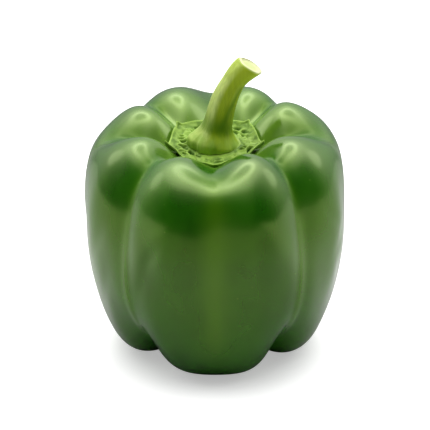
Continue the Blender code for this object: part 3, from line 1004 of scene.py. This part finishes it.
def skin_material(colours):
    """Waxy green skin: mottled greens, upright streaks, yellower seams, a paler hollow that is partly painted
    light, and sparse specks.
    """
    made, tree, shader = new_material("Pepper skin")
    place = object_coordinates(tree)
    clouds = place_group(tree, "Green mottling", place, Scale=70.0, Stretch=1.5)
    streaks = place_group(tree, "Green mottling", place, Scale=150.0, Stretch=5.0)
    specks = place_group(tree, "Pale specks", place, Scale=420.0, Size=0.16, Share=0.05)
    grain = place_group(tree, "Fine grain", place, Scale=900.0, Coarse_share=1.5)
    colour = mixed(tree, clouds, colours.skin_deep, colours.skin_fresh)
    lighter = mixed(tree, times(tree, streaks, 0.45), colour, colours.skin_fresh)
    seam = times(tree, attribute(tree, "seam"), 0.55)
    colour = mixed(tree, seam, lighter, colours.skin_seam)
    rib = times(tree, attribute(tree, "crease"), 0.35)
    colour = mixed(tree, rib, colour, colours.skin_seam)
    # Partly painted light: the inward slopes round the calyx are paler
    hollow = times(tree, attribute(tree, "hollow"), 0.9)
    colour = mixed(tree, hollow, colour, colours.skin_hollow_and_painted_light)
    colour = mixed(tree, times(tree, specks, 0.12), colour, colours.calyx_light)
    tree.links.new(colour, shader.inputs["Base Color"])
    rough = ranged(tree, clouds, 0.0, 1.0, 0.20, 0.25)
    tree.links.new(rough, shader.inputs["Roughness"])
    shader.inputs["IOR"].default_value = 1.55
    # Painted shade: the reflection is dimmed in the valleys near the calyx
    valley = attribute(tree, "valley")
    level = ranged_straight(tree, valley, 0.0, 1.0, 1.0, 0.35)
    tree.links.new(level, shader.inputs["Specular IOR Level"])
    shader.inputs["Specular Tint"].default_value = (0.72, 1.0, 0.20, 1.0)
    parts = add_node(tree, "ShaderNodeSeparateXYZ", {"Vector": place})
    facing = add_node(tree, "ShaderNodeLayerWeight", {"Blend": 0.5}).outputs["Facing"]
    waxed = ranged(tree, parts.outputs["Z"], *TOP_WAX)
    waxed = times(tree, waxed, ranged(tree, facing, 0.25, 0.60, 1.0, 0.15))
    # Painted shade: less coat in the valleys
    waxed = times(tree, waxed, ranged_straight(tree, valley, 0.0, 0.8, 1.0, 0.0))
    waxed = maths(tree, "ADD", waxed, ranged(tree, parts.outputs["Z"], *SIDE_WAX))
    tree.links.new(waxed, shader.inputs["Coat Weight"])
    shader.inputs["Coat Roughness"].default_value = 0.13
    bump(tree, grain, 0.000003, shader)
    return made


def calyx_material(colours):
    """Crinkled leaf tissue: pale lip, banks lightened as painted light, pits darkened as painted shade, and a
    satin surface.
    """
    made, tree, shader = new_material("Calyx tissue")
    place = object_coordinates(tree)
    clouds = place_group(tree, "Green mottling", place, Scale=330.0, Stretch=1.0)
    grain = place_group(tree, "Fine grain", place, Scale=2600.0, Coarse_share=1.0)
    shade = ranged(tree, clouds, 0.0, 1.0, 0.18, 0.65)
    colour = mixed(tree, shade, colours.calyx_light, colours.calyx_dark_and_pit_shade)
    # Painted light on the raised banks, painted shade in the pits
    colour = mixed(tree, times(tree, attribute(tree, "banks"), 0.7), colour, colours.calyx_light)
    pits = ranged_straight(tree, attribute(tree, "pits"), 0.0, 0.6, 0.0, 1.0)
    colour = mixed(tree, pits, colour, colours.calyx_dark_and_pit_shade)
    colour = mixed(tree, attribute(tree, "lip"), colour, colours.calyx_light)
    tree.links.new(colour, shader.inputs["Base Color"])
    tree.links.new(ranged(tree, clouds, 0.0, 1.0, 0.42, 0.58), shader.inputs["Roughness"])
    shader.inputs["Specular IOR Level"].default_value = 0.3
    shader.inputs["Specular Tint"].default_value = (0.9, 1.0, 0.6, 1.0)
    bump(tree, grain, 0.00006, shader)
    return made


def stem_material(colours):
    """Stalk: a left face and rib crests paled as painted light, a furrow darkened as painted shade, a deep
    green foot, yellow green under a dry cream cut face.
    """
    made, tree, shader = new_material("Stem stalk")
    place = object_coordinates(tree)
    streaks = place_group(tree, "Green mottling", place, Scale=900.0, Stretch=9.0)
    clouds = place_group(tree, "Green mottling", place, Scale=260.0, Stretch=2.5)
    grain = place_group(tree, "Fine grain", place, Scale=2200.0, Coarse_share=1.0)
    height = attribute(tree, "height")
    # Painted light on the left face and rib crests, broken up by mottling
    pale = times(tree, ranged(tree, clouds, 0.0, 1.0, 0.6, 1.0), attribute(tree, "pale"))
    colour = mixed(tree, pale, colours.stem_ripe, colours.stem_pale_and_lit_side)
    colour = mixed(tree, times(tree, streaks, 0.30), colour, colours.stem_deep)
    foot = ranged(tree, height, 0.42, 0.16, 0.0, 0.7)
    collar = ranged(tree, height, 0.06, 0.17)
    colour = mixed(tree, times(tree, foot, collar), colour, colours.stem_deep)
    # Painted shade in the furrow
    colour = mixed(tree, times(tree, attribute(tree, "furrow"), 0.8), colour, colours.stem_deep)
    skirt = ranged(tree, height, 0.14, 0.04, 0.0, 0.9)
    skirt = times(tree, skirt, ranged(tree, clouds, 0.0, 1.0, 1.0, 0.5))
    colour = mixed(tree, skirt, colour, colours.calyx_light)
    ripe = ranged(tree, height, 0.80, 0.95)
    colour = mixed(tree, times(tree, ripe, 0.55), colour, colours.stem_ripe)
    colour = mixed(tree, times(tree, clouds, 0.15), colour, colours.stem_ripe)
    pith = ranged(tree, attribute(tree, "centre"), 0.25, 0.6)
    face = mixed(tree, times(tree, pith, 0.35), colours.cut_face, colours.stem_ripe)
    face = mixed(tree, times(tree, streaks, 0.12), face, colours.stem_pale_and_lit_side)
    colour = mixed(tree, attribute(tree, "sawn"), colour, face)
    tree.links.new(colour, shader.inputs["Base Color"])
    tree.links.new(ranged(tree, clouds, 0.0, 1.0, 0.38, 0.52), shader.inputs["Roughness"])
    shader.inputs["Specular IOR Level"].default_value = 0.35
    shader.inputs["Specular Tint"].default_value = (0.9, 1.0, 0.6, 1.0)
    bump(tree, grain, 0.00005, shader)
    return made


def floor_material(colours):
    """Pale matt floor. What mirrors in the pepper is duller, most of all in front and far away."""
    made, tree, shader = new_material("Pale floor")
    place = object_coordinates(tree)
    parts = add_node(tree, "ShaderNodeSeparateXYZ", {"Vector": place})
    aside = maths(tree, "ABSOLUTE", parts.outputs["X"])
    beside = ranged(tree, maths(tree, "ADD", parts.outputs["Y"], aside), *BESIDE_BORDER)
    far = ranged(tree, parts.outputs["Y"], *FAR_BORDER)
    front = mixed(tree, far, colours.floor_near_front, colours.floor_far_front)
    reflected = mixed(tree, beside, front, colours.floor_beside)
    inward = maths(tree, "SUBTRACT", parts.outputs["Y"], aside)
    reflected = mixed(tree, ranged(tree, inward, *BEHIND_BORDER), reflected, colours.floor_behind)
    path = add_node(tree, "ShaderNodeLightPath")
    seen = path.outputs["Is Camera Ray"]
    matt = maths(tree, "MAXIMUM", seen, path.outputs["Is Diffuse Ray"])
    tree.links.new(mixed(tree, matt, reflected, colours.floor), shader.inputs["Base Color"])
    tree.links.new(times(tree, seen, FLOOR_GLOW), shader.inputs["Emission Strength"])
    shader.inputs["Roughness"].default_value = 0.7
    shader.inputs["Specular IOR Level"].default_value = 0.2
    return made


# The studio's light


def towards(tree, direction, target, edge, full):
    """1 near the target direction, 0 far from it, by the cosine between the two."""
    made = add_node(tree, "ShaderNodeVectorMath", operation="DOT_PRODUCT")
    tree.links.new(direction, made.inputs[0])
    made.inputs[1].default_value = Vector(target).normalized()
    return ranged(tree, made.outputs["Value"], edge, full)


def light_world(studio):
    """Soft studio all round: a ring lamp in a wide softbox overhead, walls that fade to the horizon, and a
    dark front.
    """
    world = bpy.data.worlds.new("Soft studio")
    bpy.context.scene.world = world
    world.use_nodes = True
    tree = world.node_tree
    direction = add_node(tree, "ShaderNodeTexCoord").outputs["Generated"]
    parts = add_node(tree, "ShaderNodeSeparateXYZ", {"Vector": direction})
    away, up = parts.outputs["Y"], parts.outputs["Z"]
    right = times(tree, parts.outputs["X"], parts.outputs["X"])
    level = maths(tree, "SQRT", maths(tree, "ADD", right, times(tree, away, away)))
    facing_away = maths(tree, "DIVIDE", away, maths(tree, "MAXIMUM", level, 0.001))
    behind = ranged(tree, facing_away, *WALL_BORDER)
    level_squared = maths(tree, "MAXIMUM", times(tree, level, level), 0.001)
    sideways = maths(tree, "DIVIDE", right, level_squared)
    low = mixed_values(tree, ranged(tree, sideways, 0.0, 0.6), studio.horizon_behind, studio.horizon)
    wall = ranged_straight(tree, up, 0.0, 0.93, low, studio.walls)
    rising = maths(tree, "POWER", ranged_straight(tree, up, *GLOOM_RISE, 0.0, 1.0), GLOOM_POWER)
    gloom = maths(tree, "ADD", times(tree, rising, studio.front_top), studio.front)
    strength = mixed_values(tree, behind, gloom, wall)
    overhead = (
        (SOFTBOX_REACH, studio.softbox),
        (RING_REACH, studio.softbox + studio.ring),
        (MIDDLE_REACH, studio.softbox * studio.middle),
    )
    for reach, brightness in overhead:
        inside = towards(tree, direction, SOFTBOX_DIRECTION, *reach)
        strength = mixed_values(tree, inside, strength, brightness)
    for target in PANEL_DIRECTIONS:
        panel = towards(tree, direction, target, *PANEL_REACH)
        strength = maths(tree, "ADD", strength, times(tree, panel, studio.panels))
    seen = add_node(tree, "ShaderNodeLightPath").outputs["Is Camera Ray"]
    strength = mixed_values(tree, seen, strength, 1.0)
    tree.links.new(strength, tree.nodes["Background"].inputs["Strength"])
    tree.nodes["Background"].inputs["Color"].default_value = (1.0, 1.0, 1.0, 1.0)


def lay_floor(colours):
    """A square sheet just under the feet, its corners worked out from its side."""
    half = FLOOR_SIDE / 2
    u, v = np.meshgrid((-half, half), (-half, half))
    points = np.stack((u, v, np.full(u.shape, -FLOOR_DEPTH)), -1).reshape(-1, 3)
    mesh = bpy.data.meshes.new("floor")
    mesh.from_pydata(points.tolist(), [], [(0, 1, 3, 2)])
    mesh.materials.append(floor_material(colours))
    obj = bpy.data.objects.new("floor", mesh)
    bpy.context.scene.collection.objects.link(obj)


def stand_camera(studio, core):
    """The camera in front, looking down along +Y at the aim point above the fruit's core."""
    lens = bpy.data.cameras.new("Camera")
    lens.sensor_width = SENSOR_WIDTH_MM
    lens.lens = SENSOR_WIDTH_MM * studio.distance / studio.picture_width
    camera = bpy.data.objects.new("Camera", lens)
    aim = Vector((*core[:2], studio.aim_height))
    back = Vector((0.0, -math.cos(studio.elevation), math.sin(studio.elevation)))
    turn = back.to_track_quat("Z", "Y").to_matrix().to_4x4()
    camera.matrix_world = Matrix.Translation(aim + studio.distance * back) @ turn
    bpy.context.scene.collection.objects.link(camera)
    bpy.context.scene.camera = camera


# Operators


def dress(obj, node, material):
    """Gives a piece its material, ties it to the root body and hides the part that it stands for."""
    obj.data.materials.append(material)
    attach(obj, "root")
    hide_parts(node)


class MESH_OT_pepper_groups(bpy.types.Operator):
    """Make the shader groups that the pepper's materials share"""

    bl_idname = "mesh.pepper_groups"
    bl_label = "Shader Groups"

    def execute(self, context):
        make_mottle_group()
        make_speckle_group()
        make_grain_group()
        return {"FINISHED"}


class MESH_OT_pepper_fruit(bpy.types.Operator):
    """Add the four-lobed fruit"""

    bl_idname = "mesh.pepper_fruit"
    bl_label = "Fruit"

    def execute(self, context):
        scene = context.scene
        rows, masks = fruit_surface(scene.pepper_sizes)
        obj = closed_piece("fruit_skin", rows + to_middle(scene.pepper_sizes), **masks)
        dress(obj, "fruit", skin_material(scene.pepper_colours))
        return {"FINISHED"}


class MESH_OT_pepper_calyx(bpy.types.Operator):
    """Add the crinkled calyx plate"""

    bl_idname = "mesh.pepper_calyx"
    bl_label = "Calyx"

    def execute(self, context):
        scene = context.scene
        rows, masks = calyx_surface(scene.pepper_sizes)
        obj = closed_piece("calyx_plate", rows + to_middle(scene.pepper_sizes), **masks)
        dress(obj, "calyx", calyx_material(scene.pepper_colours))
        return {"FINISHED"}


class MESH_OT_pepper_stem(bpy.types.Operator):
    """Add the ribbed, cut stem"""

    bl_idname = "mesh.pepper_stem"
    bl_label = "Stem"

    def execute(self, context):
        scene = context.scene
        rows, masks = stem_surface(scene.pepper_sizes)
        obj = closed_piece("stem_stalk", rows + to_middle(scene.pepper_sizes), **masks)
        dress(obj, "stem", stem_material(scene.pepper_colours))
        return {"FINISHED"}


class SCENE_OT_pepper_stage(bpy.types.Operator):
    """Set up the floor, the light and the camera"""

    bl_idname = "scene.pepper_stage"
    bl_label = "Stage"

    def execute(self, context):
        scene = context.scene
        scene.view_settings.view_transform = "Standard"
        lay_floor(scene.pepper_colours)
        light_world(scene.pepper_studio)
        stand_camera(scene.pepper_studio, to_middle(scene.pepper_sizes))
        return {"FINISHED"}


class VIEW3D_PT_pepper(bpy.types.Panel):
    bl_label = "Bell Pepper"
    bl_idname = "VIEW3D_PT_pepper"
    bl_space_type = "VIEW_3D"
    bl_region_type = "UI"
    bl_category = "Pepper"

    def draw(self, context):
        scene = context.scene
        for group in (scene.pepper_sizes, scene.pepper_colours, scene.pepper_studio):
            box = self.layout.box()
            for name in group.__annotations__:
                box.prop(group, name)
        for operator in OPERATORS:
            self.layout.operator(operator.bl_idname)


OPERATORS = (
    MESH_OT_pepper_groups,
    MESH_OT_pepper_fruit,
    MESH_OT_pepper_calyx,
    MESH_OT_pepper_stem,
    SCENE_OT_pepper_stage,
)
CLASSES = (PepperSizes, PepperColours, PepperStudio, *OPERATORS, VIEW3D_PT_pepper)


def register():
    for made in CLASSES:
        bpy.utils.register_class(made)
    bpy.types.Scene.pepper_sizes = PointerProperty(type=PepperSizes)
    bpy.types.Scene.pepper_colours = PointerProperty(type=PepperColours)
    bpy.types.Scene.pepper_studio = PointerProperty(type=PepperStudio)


def unregister():
    del bpy.types.Scene.pepper_studio
    del bpy.types.Scene.pepper_colours
    del bpy.types.Scene.pepper_sizes
    for made in reversed(CLASSES):
        bpy.utils.unregister_class(made)


def main():
    register()
    bpy.ops.mesh.pepper_groups()
    bpy.ops.mesh.pepper_fruit()
    bpy.ops.mesh.pepper_calyx()
    bpy.ops.mesh.pepper_stem()
    bpy.ops.scene.pepper_stage()


if __name__ == "__main__":
    main()
